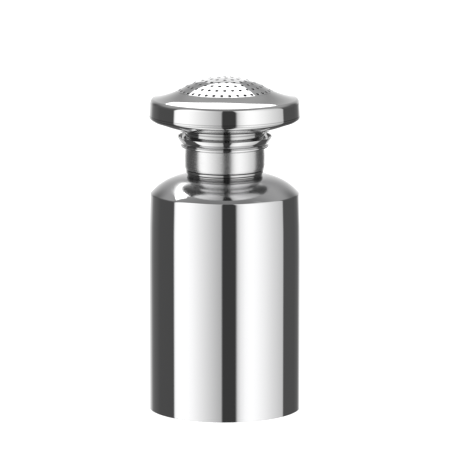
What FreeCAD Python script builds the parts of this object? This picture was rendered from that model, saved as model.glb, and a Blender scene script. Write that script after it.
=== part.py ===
"""Restaurant spice shaker: a polished steel can with a screwed mushroom head and a perforated dome.

The frame has +Z up, with the origin at the centre of the base, and all sizes are in millimetres.
Every piece is turned about the Z axis, so each outline below is a half section: radius, height.
"""

import FreeCAD
import Part
import Sketcher
import math
import os

# Driving sizes: name, value, what it is. Everything else is worked out from these.
SIZES = [
    ("body_diameter", 65.9, "outside of the can"),
    ("wall_height", 93.95, "wall of the can, up to the fold"),
    ("wall_draw", 0.55, "how far the can's wall leans in up to the fold"),
    ("draw_height", 26.0, "upper stretch of the wall that leans in"),
    ("body_sheet", 0.7, "sheet of the can"),
    ("fold_inner_radius", 0.4, "fold between wall and shoulder, inside the sheet"),
    ("fold_lean", 44.0, "degrees that the fold turns through"),
    ("shoulder_rise", 8.2, "crown of the shoulder above the straight wall"),
    ("shoulder_radius", 24.4, "outside curve of the shoulder"),
    ("neck_radius", 14.4, "outside of the upstand of the can"),
    ("neck_root_radius", 0.5, "fillet between crown and upstand"),
    ("base_sheet", 0.8, "sheet of the base plate"),
    ("base_recess", 2.5, "height of the base plate's upper face"),
    ("base_inner_bend", 0.5, "inside bend of the base plate's rim"),
    ("seam_gap", 0.03, "gap of a pressed or brazed seam between round faces"),
    ("bead_foot_wall", 1.85, "foot of the trim ring, outside the upstand"),
    ("bead_foot_height", 0.15, "height of that foot"),
    ("lower_bead_height", 0.85, "lower bead of the trim ring"),
    ("lower_bead_arc", 0.55, "radius of the lower bead's curve"),
    ("upper_bead_wall", 2.1, "seat of the upper bead, outside the upstand"),
    ("upper_bead_height", 1.4, "upper bead of the trim ring"),
    ("upper_bead_arc", 0.85, "radius of the upper bead's curve"),
    ("sleeve_wall", 0.75, "outside thread at its mean radius, outside the upstand"),
    ("sleeve_height", 8.05, "threaded sleeve above the trim ring"),
    ("sleeve_chamfer", 0.35, "lead-in at the sleeve's top"),
    ("thread_clearance", 0.08, "running gap between the two threads"),
    ("skirt_gap", 0.15, "gap between trim ring and head when screwed home"),
    ("seal_thickness", 1.8, "silicone seal"),
    ("seal_clearance", 0.15, "gap round the seal's outside"),
    ("seal_margin", 0.15, "opening of the seal, outside the neck's bore"),
    ("insert_wall", 0.64, "ring that carries the inside thread"),
    ("barrel_foot_wall", 1.1, "wall of the barrel at its lower edge"),
    ("barrel_waist_wall", 1.4, "wall of the barrel where its lower curve ends"),
    ("barrel_top_wall", 1.25, "wall of the barrel at its upper edge"),
    ("barrel_curve_height", 2.0, "height of the barrel's lower curve"),
    ("barrel_curve_arc", 6.8, "radius of the barrel's lower curve"),
    ("barrel_bulge_arc", 60.0, "radius of the barrel's long bulge"),
    ("barrel_top_round", 0.35, "rounding of the barrel's upper edge"),
    ("insert_margin", 0.4, "thread insert inside the barrel's lower edge"),
    ("collar_sheet", 0.6, "sheet of the collar"),
    ("collar_margin", 0.15, "opening in the collar's floor, outside the seal's"),
    ("collar_step", 1.95, "rolled bead of the collar, outside the barrel's top"),
    ("collar_bead_height", 1.3, "height of the rolled bead"),
    ("collar_flare", 1.3, "rim of the collar, outside its rolled bead"),
    ("collar_height", 4.8, "rim above the underside of the collar"),
    ("collar_wall_arc", 5.5, "outside curve of the collar's wall"),
    ("collar_floor_round", 0.5, "inside corner between floor and wall"),
    ("stem_inset", 0.25, "feed stem, inside the barrel's top edge"),
    ("stem_sheet", 0.6, "wall of the feed stem"),
    ("stem_height", 7.6, "feed stem above the collar's floor"),
    ("cap_sheet", 0.6, "sheet of the mushroom head"),
    ("cap_radius", 32.8, "outside of the head at the seam"),
    ("cap_draw", 0.3, "how far the head's wall leans in up to its top"),
    ("cap_wall_height", 5.6, "wall of the head above the seam"),
    ("cap_lower_corner", 1.2, "inside of the rounded corner below the head's seam"),
    ("cap_upper_corner", 1.4, "inside of the rounded corner between wall and brim"),
    ("dish_flat_width", 1.45, "flat land of the head's underside round the stem"),
    ("dish_arc", 26.6, "outside curve of the underside"),
    ("brim_arc", 40.0, "hollow curve of the brim, seen from above"),
    ("brim_centre_outset", 4.8, "that curve's centre, outside the head's seam"),
    ("opening_margin", 1.1, "edge of the brim's opening, outside the last ring of holes"),
    ("dome_sheet", 0.5, "sheet of the dome"),
    ("dome_gap", 0.06, "hairline gap round the dome"),
    ("dome_arc", 37.0, "crown of the dome"),
    ("dome_skirt_slope", 29.0, "degrees, slope of the dome's conical skirt"),
    ("dome_corner", 0.3, "rounded corner at the dome's foot"),
    ("flange_width", 2.4, "flange of the dome, outside its drop wall"),
    ("clamp_gap", 0.02, "gap above and below the clamped flange"),
    ("ring_sheet", 0.8, "thickness of the retaining ring under the flange"),
    ("ring_bore_margin", 0.1, "opening of the retaining ring, outside the dome's inner wall"),
    ("ring_land", 1.8, "retaining ring, outside the flange"),
    ("hole_diameter", 1.4, "holes of the dome"),
    ("hole_pitch", 3.26, "distance from ring to ring of holes"),
    ("holes_per_step", 6.0, "holes that each ring has more than the one inside it"),
]
HOLE_RINGS = 6
HOLE_PHASE = {1: 10.0, 2: 0.0, 3: 5.0, 4: 5.4, 5: 0.0, 6: 6.2}
CUTTER_LENGTH = 3.0
FRONT = -90.0
PARTS_FOLDER = "parts"

doc = FreeCAD.newDocument("spice_shaker")
sheet = doc.addObject("Spreadsheet::Sheet", "dims")
for row, (alias, value, note) in enumerate(SIZES, start=1):
    sheet.set(f"A{row}", alias)
    sheet.set(f"B{row}", str(value))
    sheet.set(f"C{row}", note)
    sheet.setAlias(f"B{row}", alias)
doc.recompute()


def value_of(expression):
    """The number that an expression of the sheet gives at present."""
    result = sheet.evalExpression(expression)
    return float(getattr(result, "Value", result))


def plus(*terms):
    """The sum of several expressions, as one expression."""
    return "(" + " + ".join(f"({term})" for term in terms) + ")"


def minus(first, *others):
    """The first expression less all the others."""
    return "(" + " - ".join([f"({first})"] + [f"({term})" for term in others]) + ")"


def times(first, second):
    """The product of two expressions."""
    return f"(({first}) * ({second}))"


# Radii and heights that several pieces share, from the table upwards.
BODY_RADIUS = "(dims.body_diameter / 2)"
INSIDE_OF_CAN = minus(BODY_RADIUS, "dims.body_sheet")
DRAW_FOOT = minus("dims.wall_height", "dims.draw_height")
DRAW_ARC = "((dims.draw_height ^ 2 + dims.wall_draw ^ 2) / (2 * dims.wall_draw))"
FOLD_RADIUS = minus(BODY_RADIUS, "dims.wall_draw")
NECK_BORE = minus("dims.neck_radius", "dims.body_sheet")
BEAD_FOOT = plus("dims.neck_radius", "dims.bead_foot_wall")
BEAD_SEAT = plus("dims.neck_radius", "dims.upper_bead_wall")
SLEEVE_RADIUS = plus("dims.neck_radius", "dims.sleeve_wall")
INSERT_BORE = plus(SLEEVE_RADIUS, "dims.thread_clearance")
BARREL_BORE = plus(INSERT_BORE, "dims.insert_wall", "dims.seam_gap")
BARREL_TOP = plus(BARREL_BORE, "dims.barrel_top_wall")
SEAL_BORE = plus(NECK_BORE, "dims.seal_margin")
COLLAR_BORE = plus(SEAL_BORE, "dims.collar_margin")
COLLAR_BEAD = plus(BARREL_TOP, "dims.collar_step")
COLLAR_RIM = plus(COLLAR_BEAD, "dims.collar_flare")
STEM_RADIUS = minus(BARREL_TOP, "dims.stem_inset")
CROWN = plus("dims.wall_height", "dims.shoulder_rise")
LOWER_BEAD = plus(CROWN, "dims.bead_foot_height")
UPPER_BEAD = plus(LOWER_BEAD, "dims.lower_bead_height")
BEAD_TOP = plus(UPPER_BEAD, "dims.upper_bead_height")
NECK_TOP = plus(BEAD_TOP, "dims.sleeve_height")
BARREL_FOOT = plus(BEAD_TOP, "dims.skirt_gap")
COLLAR_FOOT = plus(NECK_TOP, "dims.seal_thickness")
COLLAR_FLOOR = plus(COLLAR_FOOT, "dims.collar_sheet")
HEAD_FOOT = plus(COLLAR_FLOOR, "dims.stem_height")
STEM_BORE = minus(STEM_RADIUS, "dims.stem_sheet")

# The head's two halves meet at a butt seam, where the corner below becomes the wall above.
LOWER_CORNER = plus("dims.cap_lower_corner", "dims.cap_sheet")
UPPER_CORNER = plus("dims.cap_upper_corner", "dims.cap_sheet")
DISH_FLAT = plus(STEM_RADIUS, "dims.dish_flat_width")
DISH_SINE = (
    f"({minus('dims.cap_radius', LOWER_CORNER, DISH_FLAT)}"
    f" / {minus('dims.dish_arc', LOWER_CORNER)})"
)
DISH_COSINE = f"sqrt(1 - {DISH_SINE} ^ 2)"
SEAM = plus(
    HEAD_FOOT,
    "dims.dish_arc",
    times(minus(LOWER_CORNER, "dims.dish_arc"), DISH_COSINE),
)
WALL_TOP = plus(SEAM, "dims.cap_wall_height")

# The brim is a hollow arc, tangent to the corner above the wall. All that lies under the brim is
# made of arcs about the same centre.
CAP_TOP = minus("dims.cap_radius", "dims.cap_draw")
CORNER_RADIUS_AT = minus(CAP_TOP, UPPER_CORNER)
BRIM_CENTRE_RADIUS = plus("dims.cap_radius", "dims.brim_centre_outset")
BRIM_SINE = (
    f"({minus(BRIM_CENTRE_RADIUS, CORNER_RADIUS_AT)}"
    f" / {plus('dims.brim_arc', UPPER_CORNER)})"
)
BRIM_COSINE = f"sqrt(1 - {BRIM_SINE} ^ 2)"
BRIM_CENTRE = plus(WALL_TOP, times(plus("dims.brim_arc", UPPER_CORNER), BRIM_COSINE))
BRIM_UNDERSIDE = plus("dims.brim_arc", "dims.cap_sheet")
FLANGE_TOP = plus(BRIM_UNDERSIDE, "dims.clamp_gap")
FLANGE_BOTTOM = plus(FLANGE_TOP, "dims.dome_sheet")
RING_TOP = plus(FLANGE_BOTTOM, "dims.clamp_gap")
RING_BOTTOM = plus(RING_TOP, "dims.ring_sheet")


def under_brim(arc, radius):
    """Height, at that radius, of an arc about the brim's centre."""
    return f"({BRIM_CENTRE} - sqrt(({arc}) ^ 2 - ({BRIM_CENTRE_RADIUS} - ({radius})) ^ 2))"


# The dome: a round crown, a conical skirt, and a wall that drops through the brim's opening.
OPENING = plus(f"dims.hole_pitch * {HOLE_RINGS}", "dims.opening_margin")
DOME_WALL = minus(OPENING, "dims.dome_gap")
DROP_INSIDE = minus(DOME_WALL, "dims.dome_sheet")
FLANGE_RADIUS = plus(DOME_WALL, "dims.flange_width")
SLOPE_SINE = "sin(dims.dome_skirt_slope)"
SLOPE_COSINE = "cos(dims.dome_skirt_slope)"
SLOPE_TANGENT = "tan(dims.dome_skirt_slope)"
CROWN_EDGE = times("dims.dome_arc", SLOPE_SINE)
SKIRT_FOOT = under_brim("dims.brim_arc", OPENING)
CROWN_EDGE_HEIGHT = plus(SKIRT_FOOT, times(minus(DOME_WALL, CROWN_EDGE), SLOPE_TANGENT))
APEX = plus(CROWN_EDGE_HEIGHT, times("dims.dome_arc", f"1 - {SLOPE_COSINE}"))
DOME_CORNER_AT = minus(
    plus(SKIRT_FOOT, times("dims.dome_corner", SLOPE_TANGENT)),
    f"dims.dome_corner / {SLOPE_COSINE}",
)


def origin_plane(body, role):
    """One of the body's own origin planes."""
    return next(part for part in body.Origin.OriginFeatures if part.Role == role)


def arc_centre(start, end, radius, side):
    """Centre of the shorter arc between two points. Side 1 puts it left of the way from start to end."""
    along = (end[0] - start[0], end[1] - start[1])
    chord = math.hypot(*along)
    offset = side * math.sqrt(radius**2 - (chord / 2) ** 2) / chord
    return (
        (start[0] + end[0]) / 2 - along[1] * offset,
        (start[1] + end[1]) / 2 + along[0] * offset,
    )


def arc_edge(start, end, radius, side):
    """The arc as sketch geometry. A sketch arc runs counter-clockwise, so side -1 swaps its ends."""
    centre = arc_centre(start, end, radius, side)
    first, last = (start, end) if side > 0 else (end, start)
    circle = Part.Circle(FreeCAD.Vector(*centre, 0), FreeCAD.Vector(0, 0, 1), radius)
    angles = [math.atan2(p[1] - centre[1], p[0] - centre[0]) for p in (first, last)]
    return Part.ArcOfCircle(circle, *angles)


def pin_point(sketch, geometry, position, name, expressions):
    """Ties a point of the sketch to its radius and height on the sheet."""
    rules = [("DistanceX", -2, expressions[0]), ("DistanceY", -1, expressions[1])]
    for rule, axis, expression in rules:
        amount = value_of(expression)
        if abs(amount) < 1e-9:
            sketch.addConstraint(Sketcher.Constraint("PointOnObject", geometry, position, axis))
            continue
        number = sketch.addConstraint(Sketcher.Constraint(rule, -1, 1, geometry, position, amount))
        sketch.renameConstraint(number, f"{name}_{rule[-1].lower()}")
        sketch.setExpression(f"Constraints.{name}_{rule[-1].lower()}", expression)


def section(body, corners):
    """A closed half section in the XZ plane.

    A corner is (name, radius, height), or (name, radius, height, arc, side) where the edge that
    leaves it is an arc.
    """
    sketch = body.newObject("Sketcher::SketchObject", f"{body.Name}_section")
    sketch.AttachmentSupport = [(origin_plane(body, "XZ_Plane"), "")]
    sketch.MapMode = "FlatFace"
    points = [(value_of(c[1]), value_of(c[2])) for c in corners]
    starts = []
    ends = []
    for index, corner in enumerate(corners):
        start = points[index]
        end = points[(index + 1) % len(corners)]
        if len(corner) == 3:
            flat = [FreeCAD.Vector(*p, 0) for p in (start, end)]
            geometry = sketch.addGeometry(Part.LineSegment(*flat))
            starts.append((geometry, 1))
            ends.append((geometry, 2))
            continue
        arc, side = corner[3:]
        geometry = sketch.addGeometry(arc_edge(start, end, value_of(arc), side))
        starts.append((geometry, 1 if side > 0 else 2))
        ends.append((geometry, 2 if side > 0 else 1))
    for index, corner in enumerate(corners):
        sketch.addConstraint(Sketcher.Constraint("Coincident", *ends[index - 1], *starts[index]))
    for index, corner in enumerate(corners):
        pin_point(sketch, *starts[index], corner[0], corner[1:3])
        if len(corner) == 5:
            rule = Sketcher.Constraint("Radius", starts[index][0], value_of(corner[3]))
            sketch.renameConstraint(sketch.addConstraint(rule), f"{corner[0]}_arc")
            sketch.setExpression(f"Constraints.{corner[0]}_arc", corner[3])
    return sketch


def turned(name, corners):
    """A piece turned about the Z axis from its half section."""
    body = doc.addObject("PartDesign::Body", name)
    body.Label = name
    outline = section(body, corners)
    revolution = body.newObject("PartDesign::Revolution", f"{name}_turned")
    revolution.Profile = outline
    revolution.ReferenceAxis = (outline, ["V_Axis"])
    revolution.Angle = 360.0
    outline.Visibility = False
    doc.recompute()
    return body


def body_shell():
    """The can: wall, small fold, rounded shoulder, and the upstand of the neck."""
    fold = plus("dims.fold_inner_radius", "dims.body_sheet")
    fold_centre = minus(FOLD_RADIUS, fold)
    root_centre = plus("dims.neck_radius", "dims.neck_root_radius")
    root_height = plus(CROWN, "dims.neck_root_radius")
    lean_cosine = "cos(dims.fold_lean)"
    lean_sine = "sin(dims.fold_lean)"
    return turned(
        "body_shell",
        [
            ("foot", BODY_RADIUS, "0"),
            ("draw", BODY_RADIUS, DRAW_FOOT, DRAW_ARC, 1),
            ("wall", FOLD_RADIUS, "dims.wall_height", fold, 1),
            (
                "shoulder",
                plus(fold_centre, times(fold, lean_cosine)),
                plus("dims.wall_height", times(fold, lean_sine)),
                "dims.shoulder_radius",
                1,
            ),
            ("crown", root_centre, CROWN, "dims.neck_root_radius", -1),
            ("upstand", "dims.neck_radius", root_height),
            ("lip", "dims.neck_radius", NECK_TOP),
            ("lip_inside", NECK_BORE, NECK_TOP),
            (
                "upstand_inside",
                NECK_BORE,
                root_height,
                plus("dims.neck_root_radius", "dims.body_sheet"),
                1,
            ),
            (
                "crown_inside",
                root_centre,
                minus(CROWN, "dims.body_sheet"),
                minus("dims.shoulder_radius", "dims.body_sheet"),
                -1,
            ),
            (
                "shoulder_inside",
                plus(fold_centre, times("dims.fold_inner_radius", lean_cosine)),
                plus("dims.wall_height", times("dims.fold_inner_radius", lean_sine)),
                "dims.fold_inner_radius",
                -1,
            ),
            (
                "wall_inside",
                minus(FOLD_RADIUS, "dims.body_sheet"),
                "dims.wall_height",
                DRAW_ARC,
                -1,
            ),
            ("draw_inside", INSIDE_OF_CAN, DRAW_FOOT),
            ("foot_inside", INSIDE_OF_CAN, "0"),
        ],
    )


def base_plate():
    """A shallow pan, upside down: the plate is recessed and its rim stands on the table."""
    rim = minus(INSIDE_OF_CAN, "dims.seam_gap")
    bend = plus("dims.base_inner_bend", "dims.base_sheet")
    bend_height = minus("dims.base_recess", bend)
    underside = minus("dims.base_recess", "dims.base_sheet")
    return turned(
        "base_plate",
        [
            ("rim", rim, "0"),
            ("rim_top", rim, bend_height, bend, 1),
            ("plate_edge", minus(rim, bend), "dims.base_recess"),
            ("plate_centre", "0", "dims.base_recess"),
            ("under_centre", "0", underside),
            ("under_edge", minus(rim, bend), underside, "dims.base_inner_bend", -1),
            ("rim_inner_top", minus(rim, "dims.base_sheet"), bend_height),
            ("rim_inner", minus(rim, "dims.base_sheet"), "0"),
        ],
    )


def neck_bead_ring():
    """Trim ring at the neck's root: a plain foot and two beads of different size."""
    bore = plus("dims.neck_radius", "dims.seam_gap")
    relief = plus("dims.neck_root_radius", "dims.seam_gap")
    return turned(
        "neck_bead_ring",
        [
            ("foot_inside", plus("dims.neck_radius", relief), CROWN),
            ("foot", BEAD_FOOT, CROWN),
            ("lower_bead", BEAD_FOOT, LOWER_BEAD, "dims.lower_bead_arc", 1),
            ("groove", BEAD_FOOT, UPPER_BEAD),
            ("upper_bead", BEAD_SEAT, UPPER_BEAD, "dims.upper_bead_arc", 1),
            ("top", BEAD_SEAT, BEAD_TOP),
            ("bore_top", bore, BEAD_TOP),
            ("bore_foot", bore, plus(CROWN, relief)),
        ],
    )


def neck_thread_sleeve():
    """Sleeve on the upstand that carries the outside thread, here at its mean radius."""
    bore = plus("dims.neck_radius", "dims.seam_gap")
    return turned(
        "neck_thread_sleeve",
        [
            ("foot_inside", bore, BEAD_TOP),
            ("foot", SLEEVE_RADIUS, BEAD_TOP),
            ("lead_in", SLEEVE_RADIUS, minus(NECK_TOP, "dims.sleeve_chamfer")),
            ("top", minus(SLEEVE_RADIUS, "dims.sleeve_chamfer"), NECK_TOP),
            ("top_inside", bore, NECK_TOP),
        ],
    )


def seal_ring():
    """Flat silicone seal between the top of the neck and the collar."""
    outside = minus(BARREL_BORE, "dims.seal_clearance")
    return turned(
        "seal_ring",
        [
            ("foot_inside", SEAL_BORE, NECK_TOP),
            ("foot", outside, NECK_TOP),
            ("top", outside, COLLAR_FOOT),
            ("top_inside", SEAL_BORE, COLLAR_FOOT),
        ],
    )


def neck_barrel():
    """Turned skirt of the head, slightly barrel-shaped and drawn in at its lower edge."""
    rounding = "dims.barrel_top_round"
    foot = plus(BARREL_BORE, "dims.barrel_foot_wall")
    waist = plus(BARREL_BORE, "dims.barrel_waist_wall")
    return turned(
        "neck_barrel",
        [
            ("foot_inside", BARREL_BORE, BARREL_FOOT),
            ("foot", foot, BARREL_FOOT, "dims.barrel_curve_arc", 1),
            (
                "bulge",
                waist,
                plus(BARREL_FOOT, "dims.barrel_curve_height"),
                "dims.barrel_bulge_arc",
                1,
            ),
            ("shoulder", BARREL_TOP, minus(COLLAR_FOOT, rounding), rounding, 1),
            ("top", minus(BARREL_TOP, rounding), COLLAR_FOOT),
            ("top_inside", BARREL_BORE, COLLAR_FOOT),
        ],
    )


def thread_insert():
    """Ring in the barrel's bore that carries the inside thread, here at its mean radius."""
    outside = minus(BARREL_BORE, "dims.seam_gap")
    foot = plus(BARREL_FOOT, "dims.insert_margin")
    top = minus(NECK_TOP, "dims.insert_margin")
    return turned(
        "thread_insert",
        [
            ("foot_inside", INSERT_BORE, foot),
            ("foot", outside, foot),
            ("top", outside, top),
            ("top_inside", INSERT_BORE, top),
        ],
    )


def flared_collar():
    """Spun cup: flat floor, rolled bead at the foot, and a wall that opens to a thin rim."""
    bead_round = "(dims.collar_bead_height / 2)"
    bead_seat = minus(COLLAR_BEAD, bead_round)
    bead_top = plus(COLLAR_FOOT, "dims.collar_bead_height")
    rim_round = "(dims.collar_sheet / 2)"
    rim_height = minus(plus(COLLAR_FOOT, "dims.collar_height"), rim_round)
    inner_wall = minus(bead_seat, "dims.collar_sheet")
    inner_height = plus(COLLAR_FLOOR, "dims.collar_floor_round")
    return turned(
        "flared_collar",
        [
            ("floor_bore", COLLAR_BORE, COLLAR_FOOT),
            ("bead_foot", bead_seat, COLLAR_FOOT, bead_round, 1),
            ("bead", COLLAR_BEAD, plus(COLLAR_FOOT, bead_round), bead_round, 1),
            ("wall_foot", bead_seat, bead_top, "dims.collar_wall_arc", 1),
            ("rim", COLLAR_RIM, rim_height, rim_round, 1),
            (
                "rim_top",
                minus(COLLAR_RIM, rim_round),
                plus(rim_height, rim_round),
                rim_round,
                1,
            ),
            (
                "rim_inside",
                minus(COLLAR_RIM, "dims.collar_sheet"),
                rim_height,
                minus("dims.collar_wall_arc", "dims.collar_sheet"),
                -1,
            ),
            ("wall_inside", inner_wall, inner_height, "dims.collar_floor_round", -1),
            ("floor_edge", minus(inner_wall, "dims.collar_floor_round"), COLLAR_FLOOR),
            ("floor_bore_top", COLLAR_BORE, COLLAR_FLOOR),
        ],
    )


def feed_stem():
    """Tube that carries the mushroom head above the collar."""
    return turned(
        "feed_stem",
        [
            ("foot_inside", STEM_BORE, COLLAR_FLOOR),
            ("foot", STEM_RADIUS, COLLAR_FLOOR),
            ("top", STEM_RADIUS, HEAD_FOOT),
            ("top_inside", STEM_BORE, HEAD_FOOT),
        ],
    )


def cap_underside():
    """Dished lower half of the head, from the stem out to the butt seam."""
    corner_centre = minus("dims.cap_radius", LOWER_CORNER)
    seam_inside = minus("dims.cap_radius", "dims.cap_sheet")
    dish_centre = plus(HEAD_FOOT, "dims.dish_arc")
    inner_dish = minus("dims.dish_arc", "dims.cap_sheet")
    return turned(
        "cap_underside",
        [
            ("bore", STEM_BORE, HEAD_FOOT),
            ("dish", DISH_FLAT, HEAD_FOOT, "dims.dish_arc", 1),
            (
                "corner",
                plus(corner_centre, times(LOWER_CORNER, DISH_SINE)),
                minus(dish_centre, times("dims.dish_arc", DISH_COSINE)),
                LOWER_CORNER,
                1,
            ),
            ("seam", "dims.cap_radius", SEAM),
            ("seam_inside", seam_inside, SEAM, "dims.cap_lower_corner", -1),
            (
                "corner_inside",
                plus(corner_centre, times("dims.cap_lower_corner", DISH_SINE)),
                minus(dish_centre, times(inner_dish, DISH_COSINE)),
                inner_dish,
                -1,
            ),
            ("dish_inside", DISH_FLAT, plus(HEAD_FOOT, "dims.cap_sheet")),
            ("bore_top", STEM_BORE, plus(HEAD_FOOT, "dims.cap_sheet")),
        ],
    )


def cap_shell():
    """Upper half of the head: a nearly straight wall, a rounded corner and the hollow brim."""
    return turned(
        "cap_shell",
        [
            ("seam", "dims.cap_radius", SEAM),
            ("corner", CAP_TOP, WALL_TOP, UPPER_CORNER, 1),
            (
                "brim",
                plus(CORNER_RADIUS_AT, times(UPPER_CORNER, BRIM_SINE)),
                plus(WALL_TOP, times(UPPER_CORNER, BRIM_COSINE)),
                "dims.brim_arc",
                -1,
            ),
            ("opening", OPENING, SKIRT_FOOT),
            ("opening_under", OPENING, under_brim(BRIM_UNDERSIDE, OPENING), BRIM_UNDERSIDE, 1),
            (
                "brim_under",
                plus(CORNER_RADIUS_AT, times("dims.cap_upper_corner", BRIM_SINE)),
                plus(WALL_TOP, times("dims.cap_upper_corner", BRIM_COSINE)),
                "dims.cap_upper_corner",
                -1,
            ),
            ("corner_inside", minus(CAP_TOP, "dims.cap_sheet"), WALL_TOP),
            ("seam_inside", minus("dims.cap_radius", "dims.cap_sheet"), SEAM),
        ],
    )


def dome_blank():
    """The dome before it is punched: crown, conical skirt, drop wall and clamped flange."""
    inner_arc = minus("dims.dome_arc", "dims.dome_sheet")
    inner_edge = times(inner_arc, SLOPE_SINE)
    inner_edge_height = plus(
        minus(APEX, "dims.dome_arc"),
        times(inner_arc, SLOPE_COSINE),
    )
    corner_centre = minus(DOME_WALL, "dims.dome_corner")
    return turned(
        "perforated_dome",
        [
            ("drop_foot", DOME_WALL, under_brim(FLANGE_TOP, DOME_WALL), FLANGE_TOP, 1),
            ("flange", FLANGE_RADIUS, under_brim(FLANGE_TOP, FLANGE_RADIUS)),
            (
                "flange_under",
                FLANGE_RADIUS,
                under_brim(FLANGE_BOTTOM, FLANGE_RADIUS),
                FLANGE_BOTTOM,
                -1,
            ),
            ("drop_inside", DROP_INSIDE, under_brim(FLANGE_BOTTOM, DROP_INSIDE)),
            (
                "skirt_inside",
                DROP_INSIDE,
                minus(inner_edge_height, times(minus(DROP_INSIDE, inner_edge), SLOPE_TANGENT)),
            ),
            ("crown_inside", inner_edge, inner_edge_height, inner_arc, 1),
            ("apex_inside", "0", minus(APEX, "dims.dome_sheet")),
            ("apex", "0", APEX, "dims.dome_arc", -1),
            ("crown", CROWN_EDGE, CROWN_EDGE_HEIGHT),
            (
                "skirt_foot",
                plus(corner_centre, times("dims.dome_corner", SLOPE_SINE)),
                plus(DOME_CORNER_AT, times("dims.dome_corner", SLOPE_COSINE)),
                "dims.dome_corner",
                -1,
            ),
            ("drop", DOME_WALL, DOME_CORNER_AT),
        ],
    )


def punch(body, ring):
    """One ring of holes, square to the sheet where they stand. Ring 0 is the single centre hole."""
    around = "(dims.hole_pitch * {})".format(ring)
    on_crown = f"{around} < {CROWN_EDGE}"
    lean = f"({on_crown} ? asin({around} / dims.dome_arc) : dims.dome_skirt_slope * 1 deg)"
    crown_height = f"{APEX} - dims.dome_arc * (1 - cos({lean}))"
    skirt_height = f"{CROWN_EDGE_HEIGHT} - ({around} - {CROWN_EDGE}) * {SLOPE_TANGENT}"
    cutter = body.newObject("PartDesign::SubtractiveCylinder", f"hole_ring_{ring}")
    cutter.AttachmentSupport = [(origin_plane(body, "XY_Plane"), "")]
    cutter.MapMode = "FlatFace"
    cutter.Height = CUTTER_LENGTH
    cutter.setExpression("Radius", "dims.hole_diameter / 2")
    outward = f"({around} - {CUTTER_LENGTH / 2} * sin({lean}))"
    height = f"(({on_crown} ? {crown_height} : {skirt_height}) - {CUTTER_LENGTH / 2} * cos({lean}))"
    start = math.radians(FRONT + HOLE_PHASE.get(ring, 0.0))
    tangent = FreeCAD.Vector(-math.sin(start), math.cos(start), 0)
    cutter.AttachmentOffset = FreeCAD.Placement(
        FreeCAD.Vector(0, 0, 0), FreeCAD.Rotation(tangent, value_of(lean))
    )
    cutter.setExpression("AttachmentOffset.Base.x", f"{outward} * {math.cos(start)}")
    cutter.setExpression("AttachmentOffset.Base.y", f"{outward} * {math.sin(start)}")
    cutter.setExpression("AttachmentOffset.Base.z", height)
    cutter.setExpression("AttachmentOffset.Rotation.Angle", lean)
    doc.recompute()
    if ring == 0:
        return
    pattern = body.newObject("PartDesign::PolarPattern", f"hole_ring_{ring}_pattern")
    pattern.Originals = [cutter]
    pattern.Axis = (origin_plane(body, "Z_Axis"), [""])
    pattern.Angle = 360.0
    pattern.setExpression("Occurrences", f"{ring} * dims.holes_per_step")
    body.Tip = pattern
    doc.recompute()


def perforated_dome():
    """The strainer: the blank with its rings of holes, 6 more in each ring than in the last."""
    dome = dome_blank()
    for ring in range(HOLE_RINGS + 1):
        before = dome.Shape.Volume
        punch(dome, ring)
        if dome.Shape.Volume >= before:
            raise RuntimeError(f"hole ring {ring} cut nothing")
    return dome


def dome_retaining_ring():
    """Clamps the dome's flange from below, and is welded to the brim outside the flange."""
    step = plus(FLANGE_RADIUS, "dims.dome_gap")
    bore = plus(DROP_INSIDE, "dims.ring_bore_margin")
    outside = plus(FLANGE_RADIUS, "dims.ring_land")
    return turned(
        "dome_retaining_ring",
        [
            ("bore", bore, under_brim(RING_TOP, bore), RING_TOP, 1),
            ("step_foot", step, under_brim(RING_TOP, step)),
            ("step", step, under_brim(FLANGE_TOP, step), FLANGE_TOP, 1),
            ("outside", outside, under_brim(FLANGE_TOP, outside)),
            ("outside_under", outside, under_brim(RING_BOTTOM, outside), RING_BOTTOM, -1),
            ("bore_under", bore, under_brim(RING_BOTTOM, bore)),
        ],
    )


PIECES = [
    body_shell(),
    base_plate(),
    neck_bead_ring(),
    neck_thread_sleeve(),
    seal_ring(),
    neck_barrel(),
    thread_insert(),
    flared_collar(),
    feed_stem(),
    cap_underside(),
    cap_shell(),
    perforated_dome(),
    dome_retaining_ring(),
]

doc.recompute()
for thing in doc.Objects:
    if "Invalid" in thing.State or "Error" in thing.State:
        raise RuntimeError(f"{thing.Name} failed: {thing.State}")
for piece in PIECES:
    if piece.Shape.isNull() or not piece.Shape.isValid():
        raise RuntimeError(f"{piece.Label} has no valid shape")

os.makedirs(PARTS_FOLDER, exist_ok=True)
for piece in PIECES:
    piece.Shape.exportStep(os.path.join(PARTS_FOLDER, f"{piece.Label}.step"))
    print(f"{piece.Label}: volume {piece.Shape.Volume:.1f} mm3")
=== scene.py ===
"""Looks of the spice shaker: every piece turned finely, with real holes, threads and soft edges.

Sizes are in millimetres until a mesh is made, which is in metres. They repeat the sizes of the
part's own solids, and the levels are worked out from them in the same way.
"""

import math

import bpy
from mathutils import Matrix, Vector
from mathutils.geometry import delaunay_2d_cdt


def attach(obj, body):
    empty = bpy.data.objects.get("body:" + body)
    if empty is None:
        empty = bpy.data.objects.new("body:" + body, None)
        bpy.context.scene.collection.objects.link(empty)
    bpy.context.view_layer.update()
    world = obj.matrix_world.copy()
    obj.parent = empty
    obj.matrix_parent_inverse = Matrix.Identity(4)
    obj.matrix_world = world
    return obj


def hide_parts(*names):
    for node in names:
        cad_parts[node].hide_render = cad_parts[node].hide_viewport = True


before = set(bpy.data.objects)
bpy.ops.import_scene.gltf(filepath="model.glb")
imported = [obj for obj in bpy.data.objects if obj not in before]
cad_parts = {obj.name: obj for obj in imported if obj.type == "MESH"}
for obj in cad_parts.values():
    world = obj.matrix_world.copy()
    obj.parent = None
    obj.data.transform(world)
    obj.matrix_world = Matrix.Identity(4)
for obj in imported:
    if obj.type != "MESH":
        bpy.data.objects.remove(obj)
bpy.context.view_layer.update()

MM = 0.001

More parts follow.
